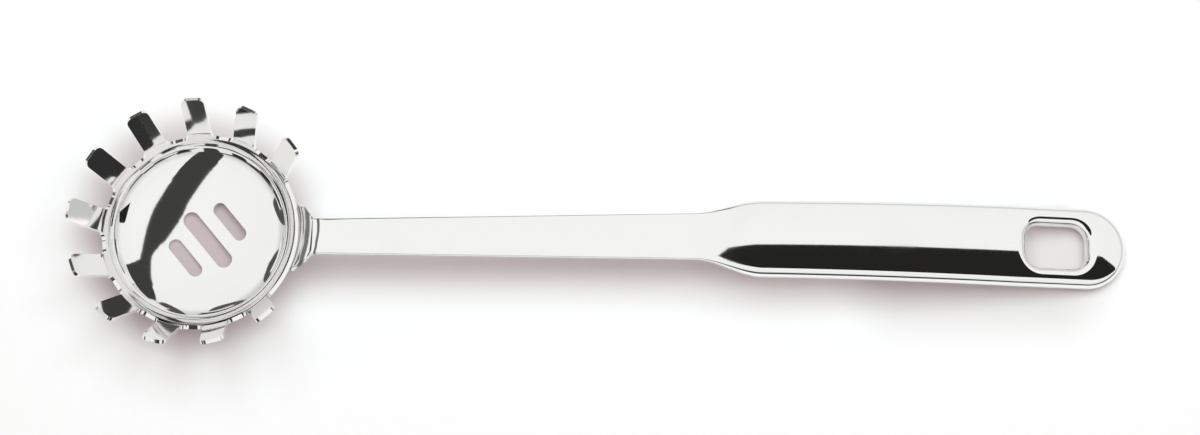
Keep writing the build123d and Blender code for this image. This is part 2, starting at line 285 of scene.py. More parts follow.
class Wiring:
    """Adds nodes to a tree; their inputs take plain values or other nodes' outputs."""

    def __init__(self, tree):
        self.tree = tree

    def add(self, kind, inputs=None, **settings):
        """A new node with its settings and inputs; a kind without Node in its name is a shader node."""
        row, column = divmod(len(self.tree.nodes), NODES_IN_ROW)
        made = change(self.tree.nodes.new(kind if "Node" in kind else "ShaderNode" + kind),
                      location=(NODE_SPACING[0] * column, NODE_SPACING[1] * row), **settings)
        for key, value in (inputs or {}).items():
            if isinstance(value, bpy.types.NodeSocket):
                self.tree.links.new(value, made.inputs[key])
            else:
                made.inputs[key].default_value = value
        return made

    def first(self, kind, inputs=None, **settings):
        """A new node's first output."""
        return self.add(kind, inputs, **settings).outputs[0]

    def maths(self, operation, *values):
        """The result of a sum with numbers."""
        return self.first("Math", dict(enumerate(values)), operation=operation)

    def times(self, first, *others):
        """Numbers multiplied."""
        for other in others:
            first = self.maths("MULTIPLY", first, other)
        return first

    def vectors(self, operation, *values):
        """The resulting vector of a sum of vectors."""
        return self.first("VectorMath", dict(enumerate(values)), operation=operation)

    def distance(self, operation, *values):
        """The resulting number of a sum of vectors."""
        return self.add("VectorMath", dict(enumerate(values)), operation=operation).outputs["Value"]

    def ranged(self, value, low, high, start=0.0, end=1.0, smooth=False):
        """A value between low and high turned into one between start and end."""
        inputs = {"Value": value, "From Min": low, "From Max": high, "To Min": start, "To Max": end}
        return self.first("MapRange", inputs, interpolation_type="SMOOTHSTEP" if smooth else "LINEAR")

    def noise(self, vector, scale, detail, roughness=0.5, distortion=0.0):
        """Noise from nought to one."""
        return self.first("TexNoise", {"Vector": vector, "Scale": scale, "Detail": detail, "Roughness": roughness,
                                       "Distortion": distortion})

    def blend(self, factor, first, second):
        """Two colours mixed."""
        inputs = {"Factor": factor, "A": first, "B": second}
        return self.add("Mix", inputs, data_type="RGBA").outputs["Result"]

    def here(self):
        """The place on the object itself."""
        return self.add("TexCoord").outputs["Object"]

    def gives(self, **outputs):
        """The tree of a group, with what it gives out."""
        self.add("NodeGroupOutput", outputs)
        return self.tree


def opaque(values):
    """A colour with full cover."""
    return (*values, 1.0)


def grey(value, blue=1.0):
    """A grey with full cover, with less blue when asked."""
    return (value, value, value * blue, 1.0)


def number_group(name, inputs, outputs):
    """An empty group with number inputs and outputs: its wiring, and what its input node gives."""
    group = bpy.data.node_groups.new(name, "ShaderNodeTree")
    for label, value in inputs.items():
        group.interface.new_socket(name=label, in_out="INPUT", socket_type="NodeSocketFloat").default_value = value
    for label in outputs:
        group.interface.new_socket(name=label, in_out="OUTPUT", socket_type="NodeSocketFloat")
    wiring = Wiring(group)
    return wiring, wiring.add("NodeGroupInput").outputs


def empty_material(name):
    """A material without nodes, and its wiring."""
    material = bpy.data.materials.new(name)
    material.use_nodes = True
    material.node_tree.nodes.clear()
    return material, Wiring(material.node_tree)


# Steel

# Middle, half width and darkness of the painted dark reflection lines at the gooseneck, by distance from the head's
# middle in metres
PAINTED_BEND_LINES = ((0.0305, 0.0004, 0.6), (0.0331, 0.0007, 0.95), (0.0363, 0.00035, 1.0))
HEAD_MIDDLE = (-0.11985, -0.00032, 0.0)
# Colour of the painted dark reflection lines at the bend
PAINTED_BEND_COLOUR = (0.1, 0.1, 0.095)
# Heights of the sheet's waves and of the wheel's marks, in metres
WAVE_HEIGHT = 0.00004
MARK_HEIGHT = 0.000004


def polish_marks_group():
    """Fine crossing marks that a polishing wheel leaves."""
    w, given = number_group("polish_marks", {"Scale": 1.0, "Strength": 0.3}, ("Height", "Mask"))
    here = w.here()
    lines = []
    for turn, stretch in ((0.35, (60.0, 4200.0, 900.0)), (-0.9, (90.0, 3100.0, 700.0))):
        turned = w.first("Mapping", {"Vector": here, "Rotation": (0.0, 0.0, turn), "Scale": stretch})
        lines.append(w.ranged(w.noise(turned, given["Scale"], 2.0, 0.6), 0.66, 0.8))
    patches = w.ranged(w.noise(here, 55.0, 3.0, 0.55), 0.42, 0.68, 0.15)
    mask = w.times(w.maths("MAXIMUM", *lines), patches, given["Strength"])
    return w.gives(Height=w.times(mask, -1.0), Mask=mask)


def handling_marks_group():
    """Soft fingerprints and dried water marks: a slow mask and a fine one."""
    w, given = number_group("handling_marks", {"Scale": 1.0, "Strength": 0.3}, ("Mask",))
    here = w.first("VectorMath", {0: w.here(), "Scale": given["Scale"]}, operation="SCALE")
    slow = w.ranged(w.noise(here, 38.0, 4.0, 0.6, 0.8), 0.5, 0.74, smooth=True)
    fine = w.ranged(w.noise(here, 900.0, 2.0, 0.6), 0.4, 0.75, 0.45)
    return w.gives(Mask=w.times(slow, fine, given["Strength"]))


def sheet_waves_group():
    """Slow unevenness of a pressed and polished sheet, as a height."""
    w, given = number_group("sheet_waves", {"Strength": 0.5}, ("Height",))
    here = w.here()
    both = w.maths("ADD", w.noise(here, 70.0, 1.0, 0.4), w.times(w.noise(here, 420.0, 1.0), 0.06))
    return w.gives(Height=w.times(both, given["Strength"]))


def edge_wear_group():
    """Where an edge stands proud, as a mask from the mesh's own curvature."""
    w, given = number_group("edge_wear", {"Strength": 0.5}, ("Mask",))
    proud = w.ranged(w.add("NewGeometry").outputs["Pointiness"], 0.53, 0.64, smooth=True)
    return w.gives(Mask=w.times(proud, given["Strength"]))


def painted_bend_reflections_group():
    """Painted dark reflection lines across the bend where the foot turns into the neck, as a mask."""
    w, given = number_group("painted_bend_reflections", {"Strength": 0.8}, ("Mask",))
    here = w.here()
    away = w.distance("DISTANCE", w.vectors("MULTIPLY", here, (1.0, 1.0, 0.0)), HEAD_MIDDLE)
    reach = w.maths("MULTIPLY_ADD", w.noise(here, 260.0, 1.0), 0.0005, away)
    total = 0.0
    for middle, half, depth in PAINTED_BEND_LINES:
        off = w.maths("ABSOLUTE", w.maths("SUBTRACT", reach, middle))
        total = w.maths("MAXIMUM", w.ranged(off, half * 0.6, half * 1.4, depth, 0.0, True), total)
    return w.gives(Mask=w.times(total, given["Strength"]))


def steel_material(name, groups, steel, dullness, roughness, scratches, smudges, waviness, marks_scale,
                   bend_reflection_strength=0.0):
    """Polished or plain steel with wheel marks, handling marks, edge wear, the sheet's own waviness and, where asked,
    painted dark reflection lines at the gooseneck.
    """
    material, w = empty_material(name)

    def from_group(group_name, **values):
        return w.add("Group", values, node_tree=groups[group_name]).outputs

    marks = from_group("polish_marks", Scale=marks_scale, Strength=scratches)
    hands = from_group("handling_marks", Scale=1.0, Strength=smudges)["Mask"]
    wear = from_group("edge_wear", Strength=0.6)["Mask"]
    tone = w.blend(hands, opaque(steel), opaque(v * dullness for v in steel))
    tone = w.blend(wear, tone, opaque(min(1.0, v * 1.03) for v in steel))
    # Painted dark reflection lines across the gooseneck's bend
    if bend_reflection_strength:
        tone = w.blend(from_group("painted_bend_reflections", Strength=bend_reflection_strength)["Mask"], tone, opaque(PAINTED_BEND_COLOUR))
    rough = roughness
    for mask, share in ((hands, 0.12), (marks["Mask"], 0.12), (wear, 0.06)):
        rough = w.maths("MULTIPLY_ADD", mask, share, rough)
    waves = from_group("sheet_waves", Strength=waviness)["Height"]
    normal = w.first("Bump", {"Height": waves, "Strength": 1.0, "Distance": WAVE_HEIGHT})
    normal = w.first("Bump", {"Height": marks["Height"], "Strength": 0.25, "Distance": MARK_HEIGHT,
                              "Normal": normal})
    shader = w.first("BsdfPrincipled", {"Metallic": 1.0, "IOR": 2.5, "Base Color": tone, "Roughness": rough,
                                        "Normal": normal})
    w.add("OutputMaterial", {"Surface": shader})
    return material


def steel_materials():
    """All of the object's materials, made once."""
    made = {m.name: m for m in bpy.data.materials}
    if "polished_head_steel" in made:
        return made
    finish = bpy.context.scene.pasta_finish
    makers = (polish_marks_group, handling_marks_group, sheet_waves_group, edge_wear_group, painted_bend_reflections_group)
    groups = {group.name: group for group in (maker() for maker in makers)}
    steel = tuple(finish.steel_colour)
    kinds = {
        "polished_head_steel": (steel, 0.93, finish.roughness, finish.scratches, finish.smudges, finish.waviness, 1.0),
        "polished_handle_steel": (steel, 0.93, finish.roughness, finish.scratches, finish.smudges * 1.2,
                                  finish.waviness, 0.8, 0.95),
        "fused_weld_steel": (tuple(finish.weld_colour), 0.7, finish.weld_roughness, 0.6, 0.8, 1.0, 2.0),
    }
    return {name: steel_material(name, groups, *values) for name, values in kinds.items()}


# Head

class Dish:
    """The head's section: a dish, a tighter knuckle, a short wall and the folded prongs."""

    def __init__(self, sizes):
        self.sizes = sizes
        wall = sizes.wall_angle
        self.knuckle_r = sizes.rim_radius - sizes.knuckle_radius * sin(wall)
        self.knuckle_z = sizes.knuckle_radius * cos(wall)
        drop = sizes.bowl_depth + self.knuckle_z
        self.radius = (self.knuckle_r**2 + drop**2 - sizes.knuckle_radius**2) / (2 * (drop - sizes.knuckle_radius))
        self.centre = self.radius - sizes.bowl_depth
        self.join_angle = asin(self.knuckle_r / (self.radius - sizes.knuckle_radius))
        self.disc = 0.5 * sizes.rim_radius
        self.bend = wall - sizes.prong_angle
        self.fold_arc = sizes.fold_radius * self.bend
        fold_at = sizes.fold_height / sin(wall)
        self.fold_start = fold_at - sizes.fold_radius * tan(self.bend / 2)
        self.prong_end = fold_at + sizes.prong_length

    def on_dish(self, r):
        """Height of the dish at a radius."""
        return self.centre - sqrt(self.radius**2 - r * r)

    def on_knuckle(self, slope, out=0.0):
        """Point of the knuckle at a slope, on the inner face or further out."""
        reach = self.sizes.knuckle_radius + out
        return (self.knuckle_r + reach * sin(slope), self.knuckle_z - reach * cos(slope))

    def ring_rows(self):
        """Points of the section from the middle disc to the rim."""
        radii = stepped(self.disc, self.radius * sin(self.join_angle), DISH_ROWS)
        slopes = stepped(self.join_angle, self.sizes.wall_angle, KNUCKLE_ROWS)[1:]
        return [(r, self.on_dish(r)) for r in radii] + [self.on_knuckle(slope) for slope in slopes]

    def wall_point(self, distance):
        """Point of the inner face at a distance up from the rim, through the fold and along the prong."""
        sizes = self.sizes
        straight = min(distance, self.fold_start)
        base = (sizes.rim_radius + straight * cos(sizes.wall_angle), straight * sin(sizes.wall_angle))
        if distance <= self.fold_start:
            return base
        turned = min(1.0, (distance - self.fold_start) / self.fold_arc)
        slope = sizes.wall_angle - self.bend * turned / 2
        chord = 2 * sizes.fold_radius * sin(self.bend * turned / 2)
        rest = max(0.0, distance - self.fold_start - self.fold_arc)
        return (base[0] + chord * cos(slope) + rest * cos(sizes.prong_angle),
                base[1] + chord * sin(slope) + rest * sin(sizes.prong_angle))


def polar(r, azimuth, z):
    """A point by radius, azimuth and height."""
    return (r * cos(azimuth), r * sin(azimuth), z)


def head_matrix(sizes):
    """From the head's own frame, its local X towards the handle, to the shared frame."""
    return (Matrix.Translation(sizes.origin) @ Matrix.Rotation(-sizes.lean, 4, "Y")
            @ Matrix.Rotation(-sizes.turn, 4, "Z"))


def prong_columns(sizes):
    """Azimuths of one sector's columns at the rim, the first at the sector's edge."""
    half = sizes.prong_step / 2
    root = (sizes.prong_width / 2 + sizes.root_radius) / sizes.rim_radius
    return [-half, -(half + root) / 2] + [u * root for u in spread(PRONG_COLUMNS)] + [(half + root) / 2, half]


def root_gain(sizes, distance):
    """How much the root fillet widens half of a prong at a distance above the rim."""
    rest = max(0.0, sizes.root_radius - distance)
    return sizes.root_radius - sqrt(sizes.root_radius**2 - rest**2)


def prong_sector(dish):
    """Points and faces of one prong and the part of the ring below it, its middle along local X."""
    sizes = dish.sizes
    columns = prong_columns(sizes)
    rows = dish.ring_rows()
    width = len(columns)
    points = [polar(r, a, z) for r, z in rows for a in columns]
    faces = []
    for row in range(len(rows) - 1):
        for a in range(row * width, (row + 1) * width - 1):
            faces.append((a, a + 1, a + 1 + width, a + width))
    # The prong: columns squeezed together by the root fillet, then parallel, then rounded at the tip
    half = sizes.prong_width / 2
    quarter = [radians(90 / CORNER_STEPS * k) for k in range(1, CORNER_STEPS + 1)]
    root = [(sizes.root_radius * (1 - cos(turn)), half + sizes.root_radius * (1 - sin(turn)))
            for turn in quarter]
    levels = [level for level in root if level[0] < dish.fold_start - 0.05 * MM]
    body_start = dish.fold_start + dish.fold_arc
    body_end = dish.prong_end - sizes.tip_radius
    along = stepped(dish.fold_start, body_start, FOLD_STEPS) + stepped(body_start, body_end, PRONG_ROWS)[1:]
    levels += [(s, half + root_gain(sizes, s)) for s in along]
    levels += [(body_end + sizes.tip_radius * sin(turn), half - sizes.tip_radius * (1 - cos(turn)))
               for turn in quarter]
    last = [(len(rows) - 1) * width + 2 + k for k in range(PRONG_COLUMNS)]
    for distance, half_width in levels:
        r, z = dish.wall_point(distance)
        current = [len(points) + k for k in range(PRONG_COLUMNS)]
        points.extend(polar(r, asin(u * half_width / r), z) for u in spread(PRONG_COLUMNS))
        faces.extend((last[k], last[k + 1], current[k + 1], current[k]) for k in range(PRONG_COLUMNS - 1))
        last = current
    return points, faces


def repeat_prongs_tree():
    """Geometry nodes that repeat one sector about the head's axis and join the copies."""
    w = Wiring(bpy.data.node_groups.new("repeat_prongs", "GeometryNodeTree"))
    keys = {}
    for label, kind in (("Geometry", "Geometry"), ("Prongs", "Int"), ("First Angle", "Float"), ("Step", "Float"),
                        ("Material", "Material")):
        socket = w.tree.interface.new_socket(name=label, in_out="INPUT", socket_type="NodeSocket" + kind)
        keys[label] = socket.identifier
    w.tree.interface.new_socket(name="Geometry", in_out="OUTPUT", socket_type="NodeSocketGeometry")
    given = w.add("NodeGroupInput").outputs
    points = w.first("GeometryNodePoints", {"Count": given["Prongs"]})
    turn = w.maths("MULTIPLY_ADD", w.first("GeometryNodeInputIndex"), given["Step"], given["First Angle"])
    rotation = w.first("FunctionNodeEulerToRotation", {0: w.first("CombineXYZ", {"Z": turn})})
    made = w.first("GeometryNodeInstanceOnPoints",
                   {"Points": points, "Instance": given["Geometry"], "Rotation": rotation})
    made = w.first("GeometryNodeRealizeInstances", {0: made})
    made = w.first("GeometryNodeMergeByDistance", {0: made, "Distance": HEAD_MERGE})
    w.add("NodeGroupOutput", {0: w.first("GeometryNodeSetMaterial", {0: made, "Material": given["Material"]})})
    return w.tree, keys


def stadium(centre, direction, long, wide, count):
    """Points round a slot with round ends, anticlockwise."""
    radius = wide / 2
    reach = long / 2 - radius
    side = Vector((-direction.y, direction.x))
    points = []
    for sign in (1, -1):
        for k in range(count + 1):
            turn = radians(-90 + 180 * k / count)
            points.append(centre + sign * (direction * (reach + radius * cos(turn))
                                           + side * (radius * sin(turn))))
        steps = max(2, int(2 * reach / SLOT_STEP))
        a = points[-1]
        b = centre - sign * (direction * reach - side * radius)
        points.extend(stepped(a, b, steps)[1:-1])
    return points


def slotted_disc(dish, azimuths):
    """The middle of the bowl with its three slots, as points and faces on the dish."""
    sizes = dish.sizes
    disc = dish.disc
    direction = Vector((cos(sizes.slot_angle), sin(sizes.slot_angle)))
    side = Vector((-direction.y, direction.x))
    slots = [(Vector((0, 0)), sizes.long_slot, sizes.long_slot_width)]
    slots += [(side * sign * sizes.slot_pitch, sizes.short_slot, sizes.short_slot_width) for sign in (1, -1)]

    def clear_of_slots(point, gap):
        for centre, long, wide in slots:
            offset = point - centre
            over = max(abs(offset.dot(direction)) - (long - wide) / 2, 0.0)
            across = offset.x * direction.y - offset.y * direction.x
            if hypot(over, across) - wide / 2 <= gap:
                return False
        return True

    points = [Vector((disc * cos(a), disc * sin(a))) for a in azimuths]
    rim = list(range(len(points)))
    edges = []
    for centre, long, wide in slots:
        loop = stadium(centre, direction, long, wide, SLOT_ROUND_STEPS)
        first = len(points)
        edges.extend((first + k, first + (k + 1) % len(loop)) for k in range(len(loop)))
        points.extend(loop)
    for centre, long, wide in slots:
        for out in SLOT_GUARDS:
            points.extend(stadium(centre, direction, long + 2 * out, wide + 2 * out, GUARD_ROUND_STEPS))
    steps = int(disc / GRID_SPACING) + 1
    for i in range(-steps, steps + 1):
        for j in range(-steps, steps + 1):
            point = Vector((i * GRID_SPACING, j * GRID_SPACING))
            if point.length <= disc - GRID_FROM_RING and clear_of_slots(point, GRID_FROM_SLOTS):
                points.append(point)
    flat, _, flat_faces, *_ = delaunay_2d_cdt(points, edges, [rim], 1, SAME_POINT)
    faces = []
    for face in flat_faces:
        middle = sum((flat[k] for k in face), Vector((0, 0))) / len(face)
        if clear_of_slots(middle, 0.0):
            faces.append(tuple(face))
    return [(v.x, v.y, dish.on_dish(v.length)) for v in flat], faces


def build_head(sizes):
    """The head's sheet as one closed body, in the shared frame."""
    dish = Dish(sizes)
    material = steel_materials()["polished_head_steel"]
    count = sizes.prong_count
    step = sizes.prong_step
    first = pi + sizes.prong_turn - (count - 1) / 2 * step
    head = mesh_object("dished_head", *prong_sector(dish))
    tree, keys = repeat_prongs_tree()
    repeat = head.modifiers.new("repeat_prongs", "NODES")
    repeat.node_group = tree
    for label, value in (("Prongs", count), ("First Angle", first), ("Step", step), ("Material", material)):
        repeat[keys[label]] = value
    baked(head)
    # The plain part of the rim where the handle sits, and the slotted middle
    shape = bmesh.new()
    shape.from_mesh(head.data)
    start = first + (count - 0.5) * step
    finish = first - 0.5 * step + 2 * pi
    rear = stepped(start, finish, REAR_COLUMNS)
    grid = [[shape.verts.new(polar(r, a, z)) for a in rear] for r, z in dish.ring_rows()]
    for low, high in zip(grid, grid[1:]):
        for col in range(REAR_COLUMNS):
            shape.faces.new((low[col], low[col + 1], high[col + 1], high[col]))
    azimuths = [first + index * step + a for index in range(count) for a in prong_columns(sizes)[:-1]] + rear[:-1]
    vertices, faces = slotted_disc(dish, azimuths)
    middle = [shape.verts.new(v) for v in vertices]
    for face in faces:
        shape.faces.new([middle[k] for k in face])
    close_up(shape, HEAD_MERGE)
    inmost = min(shape.faces, key=lambda f: f.calc_center_median().xy.length)
    if inmost.normal.z < 0:
        bmesh.ops.reverse_faces(shape, faces=shape.faces)
    bmesh.ops.transform(shape, matrix=head_matrix(sizes), verts=shape.verts)
    shape.to_mesh(head.data)
    shape.free()
    change(head.modifiers.new("sheet", "SOLIDIFY"), thickness=sizes.sheet, offset=-1.0, use_even_offset=True,
           use_quality_normals=True)
    finish_sheet(head, sizes.edge_round, material)
    return head


# Handle

def side_line(half_width, crown, corner, bottom, inset=0.0):
    """Half of a section from its middle to its lower edge, as (out, up) pairs, moved in by the inset."""
    reach = abs(crown - corner)
    side = 1 if crown > 0 else -1
    centre = -crown + side * sqrt(reach**2 - (half_width - corner)**2)
    lean = asin((half_width - corner) / reach) * side
    points = [((crown - inset) * sin(turn), -crown + (crown - inset) * cos(turn))
              for turn in stepped(0, lean, CROWN_STEPS)]
    points += [(half_width - corner + (corner - inset) * sin(turn), centre + (corner - inset) * cos(turn))
               for turn in stepped(lean, pi / 2, EDGE_STEPS)[1:]]
    return points + [(half_width - inset, (centre + bottom) / 2), (half_width - inset, bottom)]


def under_line(half_width, depth, rise, edge):
    """Half of the neck's underside from its middle out, with as many points as the hollow's."""
    last = CROWN_STEPS + EDGE_STEPS + 2
    return [((half_width - edge) * k / last, -depth + rise * (k / last)**2) for k in range(last + 1)]


def laid_out(loop, origin, lateral, up):
    """A section's points in the shared frame."""
    return [origin + lateral * out + up * height for out, height in loop]


def mirrored(side):
    """A whole section from one half: from the far side's lower edge over the middle to the near one."""
    return [(-out, up) for out, up in side[:0:-1]] + side


class HandleForm:
    """The handle's path and sections."""

    def __init__(self, sizes, head_sizes):
        self.sizes = sizes
        self.dish = Dish(head_sizes)
        turned = head_matrix(head_sizes)
        self.origin = turned.translation.copy()
        self.axis_x, self.axis_y, self.axis_z = (turned.col[k].xyz.copy() for k in range(3))
        self.gap = head_sizes.sheet + sizes.seat_gap
        self.forward = Vector((1, 0, 0))
        self.sideways = Vector((0, 1, 0))
        self.level = -atan(self.axis_x.z / self.axis_z.z)
        self.wall = head_sizes.wall_angle
        self.rim_out = self.dish.on_knuckle(self.wall, self.gap)
        start = self.step(self.rim_out, self.wall, sizes.foot_rise, 0.0)
        self.bend_centre = self.step(start, self.wall, 0.0, sizes.bend_radius)
        self.bend_end = self.step(self.bend_centre, self.level, 0.0, -sizes.bend_radius)
        self.landing = self.meridian(self.bend_end) + self.forward * sizes.landing
        self.solve_arch()

    @staticmethod
    def step(point, slope, far, out):
        """A point further along a slope and out from it."""
        return (point[0] + far * cos(slope) + out * sin(slope),
                point[1] + far * sin(slope) - out * cos(slope))

    def meridian(self, point):
        """A point of the head's section that faces the handle, in the shared frame."""
        return self.origin + self.axis_x * point[0] + self.axis_z * point[1]

    def solve_arch(self):
        """The bend that brings the end's lower edge to the table."""
        sizes = self.sizes
        self.end_radius = sizes.grip_end_width / 2
        self.end_centre = sizes.end - self.end_radius
        self.straight = sizes.hole_place - sizes.hole_length / 2 - sizes.roll_width
        run = self.straight - sizes.neck_end
        turn = 0.0
        for _ in range(ARCH_TRIES):
            drop = (self.end_centre - self.straight) * tan(turn) + self.end_radius * sin(turn)
            rest = self.landing.z - sizes.grip_depth * cos(turn) - drop
            turn = (turn + 2 * atan(rest / run)) / 2
        self.arch_angle = turn
        self.arch_radius = run / sin(turn)

    def frame_at(self, x):
        """Origin, forward, sideways and up on the handle's top line at a place along it."""
        along = min(max(x, self.sizes.neck_end), self.straight)
        turn = asin((along - self.sizes.neck_end) / self.arch_radius)
        drop = self.arch_radius * (1 - cos(turn)) + (max(x, self.straight) - self.straight) * tan(turn)
        origin = Vector((x, self.landing.y, self.landing.z - drop))
        tangent = Vector((cos(turn), 0, -sin(turn)))
        return origin, tangent, self.sideways, tangent.cross(self.sideways)

    def neck_loop(self, half_width, curvature):
        """A closed solid section: outer points from side to side, then the underside back."""
        edge = self.sizes.neck_edge
        depth = self.sizes.sheet
        rise = -curvature * half_width**2 / 2
        crown = 1 / curvature if abs(curvature) > 1e-9 else 1e6
        outer = side_line(half_width, crown, edge, rise - depth + 0.25 * edge)
        return mirrored(outer) + mirrored(under_line(half_width, depth, rise, edge))[::-1]

    def section(self, x):
        """The handle's closed section at a place on the neck, shoulder or grip."""
        sizes = self.sizes
        if x < sizes.neck_end:
            far = (x - self.landing.x) / (sizes.neck_end - self.landing.x)
            half = mix(sizes.neck_start_width, sizes.neck_end_width, far) / 2
            return self.neck_loop(half, 1 / sizes.neck_crown)
        share = min((x - sizes.neck_end) / (sizes.grip_start - sizes.neck_end), 1.0)
        share = share * share * (3 - 2 * share)
        far = max((x - sizes.grip_start) / (self.straight - sizes.grip_start), 0.0)
        full = mix(sizes.grip_start_width, sizes.grip_end_width, far)
        half = mix(sizes.neck_end_width, full, share) / 2
        curvature = (1 - share) / sizes.neck_crown + share / sizes.grip_crown
        neck = self.neck_loop(half, curvature)
        outer = mirrored(side_line(half, 1 / curvature, sizes.grip_edge, -sizes.grip_depth))
        inner = mirrored(side_line(half, 1 / curvature, sizes.grip_edge, -sizes.grip_depth, sizes.sheet))
        return [(mix(a[0], b[0], share), mix(a[1], b[1], share)) for a, b in zip(neck, outer + inner[::-1])]


def foot_loops(form):
    """Closed sections of the foot on the bowl's wall and of the bend into the neck."""
    sizes = form.sizes
    stations = []
    for share in stepped(0, 1, FOOT_STEPS):
        slope = mix(sizes.foot_reach, form.wall, share)
        half = mix(sizes.foot_end_half_width, sizes.foot_half_width, sin(share * pi / 2))
        stations.append((form.dish.on_knuckle(slope, form.gap), slope, half, 0.0))
    for share in stepped(0, 1, GOOSENECK_STEPS):
        slope = mix(form.wall, form.level, share)
        point = form.step(form.bend_centre, slope, 0.0, -sizes.bend_radius)
        reach = (point[0] - form.rim_out[0]) / (form.bend_end[0] - form.rim_out[0])
        half = mix(sizes.foot_half_width, sizes.neck_start_width / 2, reach)
        stations.append((point, slope, half, share))
    loops = []
    for point, slope, half, share in stations:
        tangent = (form.axis_x * cos(slope) + form.axis_z * sin(slope)) * (1 - share) + form.forward * share
        tangent.normalize()
        lateral = form.axis_y * (1 - share) + form.sideways * share
        lateral = (lateral - tangent * lateral.dot(tangent)).normalized()
        up = tangent.cross(lateral)
        curvature = share / sizes.neck_crown - (1 - share) * sin(slope) / point[0]
        origin = form.meridian(point)
        loops.append(laid_out(form.neck_loop(half, curvature), origin, lateral, up))
    return loops


def body_loops(form):
    """Closed sections of the neck, shoulder and grip as far as the hanging hole's ground."""
    sizes = form.sizes
    spans = ((form.landing.x, sizes.neck_end, NECK_STEPS), (sizes.neck_end, sizes.grip_start, SHOULDER_STEPS),
             (sizes.grip_start, form.straight, GRIP_STEPS))
    places = [x for span in spans for x in stepped(*span)[:-1]]
    loops = []
    for x in places + [form.straight]:
        origin, _, lateral, up = form.frame_at(x)
        loops.append(laid_out(form.section(x), origin, lateral, up))
    return loops


def rounded_rectangle(point, half_x, half_y, corner):
    """Signed distance of a point from a rounded rectangle, and the outward direction there."""
    qx = abs(point.x) - (half_x - corner)
    qy = abs(point.y) - (half_y - corner)
    sx = 1 if point.x >= 0 else -1
    sy = 1 if point.y >= 0 else -1
    if qx > 0 and qy > 0:
        far = hypot(qx, qy)
        return far - corner, Vector((sx * qx / far, sy * qy / far))
    if qx > qy:
        return qx - corner, Vector((sx, 0))
    return qy - corner, Vector((0, sy))


def end_piece(form, shape):
    """The grip's end with its turned-down edge and the collared hanging hole, added to a mesh."""
    sizes = form.sizes
    origin, tangent, lateral, up = form.frame_at(form.straight)
    slope = cos(form.arch_angle)
    centre_s = (form.end_centre - form.straight) / slope
    crown = sizes.grip_crown
    half = form.end_radius
    outer = side_line(half, crown, sizes.grip_edge, -sizes.grip_depth)
    inner = side_line(half, crown, sizes.grip_edge, -sizes.grip_depth, sizes.sheet)

    def put(point, height):
        return shape.verts.new(origin + tangent * point.x + lateral * point.y + up * height)

    def quads(grid_a, grid_b):
        for k in range(len(grid_a) - 1):
            shape.faces.new((grid_a[k], grid_a[k + 1], grid_b[k + 1], grid_b[k]))

    # Stations round the outline: a base point and the outward direction
    sides = [Vector((along, 0)) for along in stepped(0, centre_s, END_SIDE_STEPS)[:-1]]
    stations = [(base, Vector((0, -1))) for base in sides]
    stations += [(Vector((centre_s, 0)), Vector((cos(turn), sin(turn))))
                 for turn in stepped(-pi / 2, pi / 2, END_ROUND_STEPS)]
    stations += [(base, Vector((0, 1))) for base in sides[::-1]]
    ring = outer[CROWN_STEPS:] + inner[:CROWN_STEPS - 1:-1]
    columns = [[put(base + way * out, height) for out, height in ring] for base, way in stations]
    for a, b in zip(columns, columns[1:]):
        quads(a, b)

    # The ground round the hole, from its rolled rim to the outline and back across the grip
    edge_out = outer[CROWN_STEPS][0]
    border = [base + way * edge_out for base, way in stations]
    border += [Vector((0, sign * outer[k][0])) for sign, k in
               [(1, k) for k in range(CROWN_STEPS - 1, -1, -1)] + [(-1, k) for k in range(1, CROWN_STEPS)]]
    hole = Vector(((sizes.hole_place - form.straight) / slope, 0))
    roll = sizes.roll_width
    rolled = (sizes.hole_length / 2 + roll, sizes.hole_width / 2 + roll, sizes.hole_corner + roll)

    def top(point):
        middle = Vector((min(point.x, centre_s), 0))
        out = (point - middle).length
        height = -crown + sqrt(crown**2 - out**2)
        normal = Vector((point.x - middle.x, point.y, crown + height)) / crown
        return height, normal

    def ground(point, below):
        height, normal = top(point)
        return put(point - normal.xy * below, height - normal.z * below)

    tops = []
    unders = []
    for corner in border:
        way = (corner - hole).normalized()
        low, high = 0.0, (corner - hole).length
        for _ in range(OUTLINE_TRIES):
            middle = (low + high) / 2
            if rounded_rectangle(way * middle, *rolled)[0] > 0:
                high = middle
            else:
                low = middle
        out_way = rounded_rectangle(way * high, *rolled)[1]
        contour = way * high + hole
        inwards = [corner + (contour - corner) * (k / GROUND_ROWS) for k in range(GROUND_ROWS + 1)]
        top_row = [ground(point, 0.0) for point in inwards]
        under_row = [ground(point, sizes.sheet) for point in inwards]
        clear = contour - out_way * roll
        for share in stepped(0, 1, ROLL_STEPS)[1:]:
            turn = share * pi / 2
            thick = mix(sizes.sheet, sizes.lip_sheet, share)
            point = clear + out_way * (roll * (1 - sin(turn)))
            top_row.append(put(point, top(point)[0] - sizes.roll_depth * (1 - cos(turn))))
            point = clear + out_way * (roll - (roll - thick) * sin(turn))
            drop = sizes.roll_depth - (sizes.roll_depth - thick) * cos(turn)
            under_row.append(put(point, top(point)[0] - drop))
        top_row.append(put(clear, -sizes.lip_depth))
        under_row.append(put(clear + out_way * sizes.lip_sheet, -sizes.lip_depth))
        tops.append(top_row)
        unders.append(under_row)
    tops.append(tops[0])
    unders.append(unders[0])
    for k in range(len(border)):
        quads(tops[k], tops[k + 1])
        quads(unders[k + 1], unders[k])
        shape.faces.new((tops[k][-1], unders[k][-1], unders[k + 1][-1], tops[k + 1][-1]))


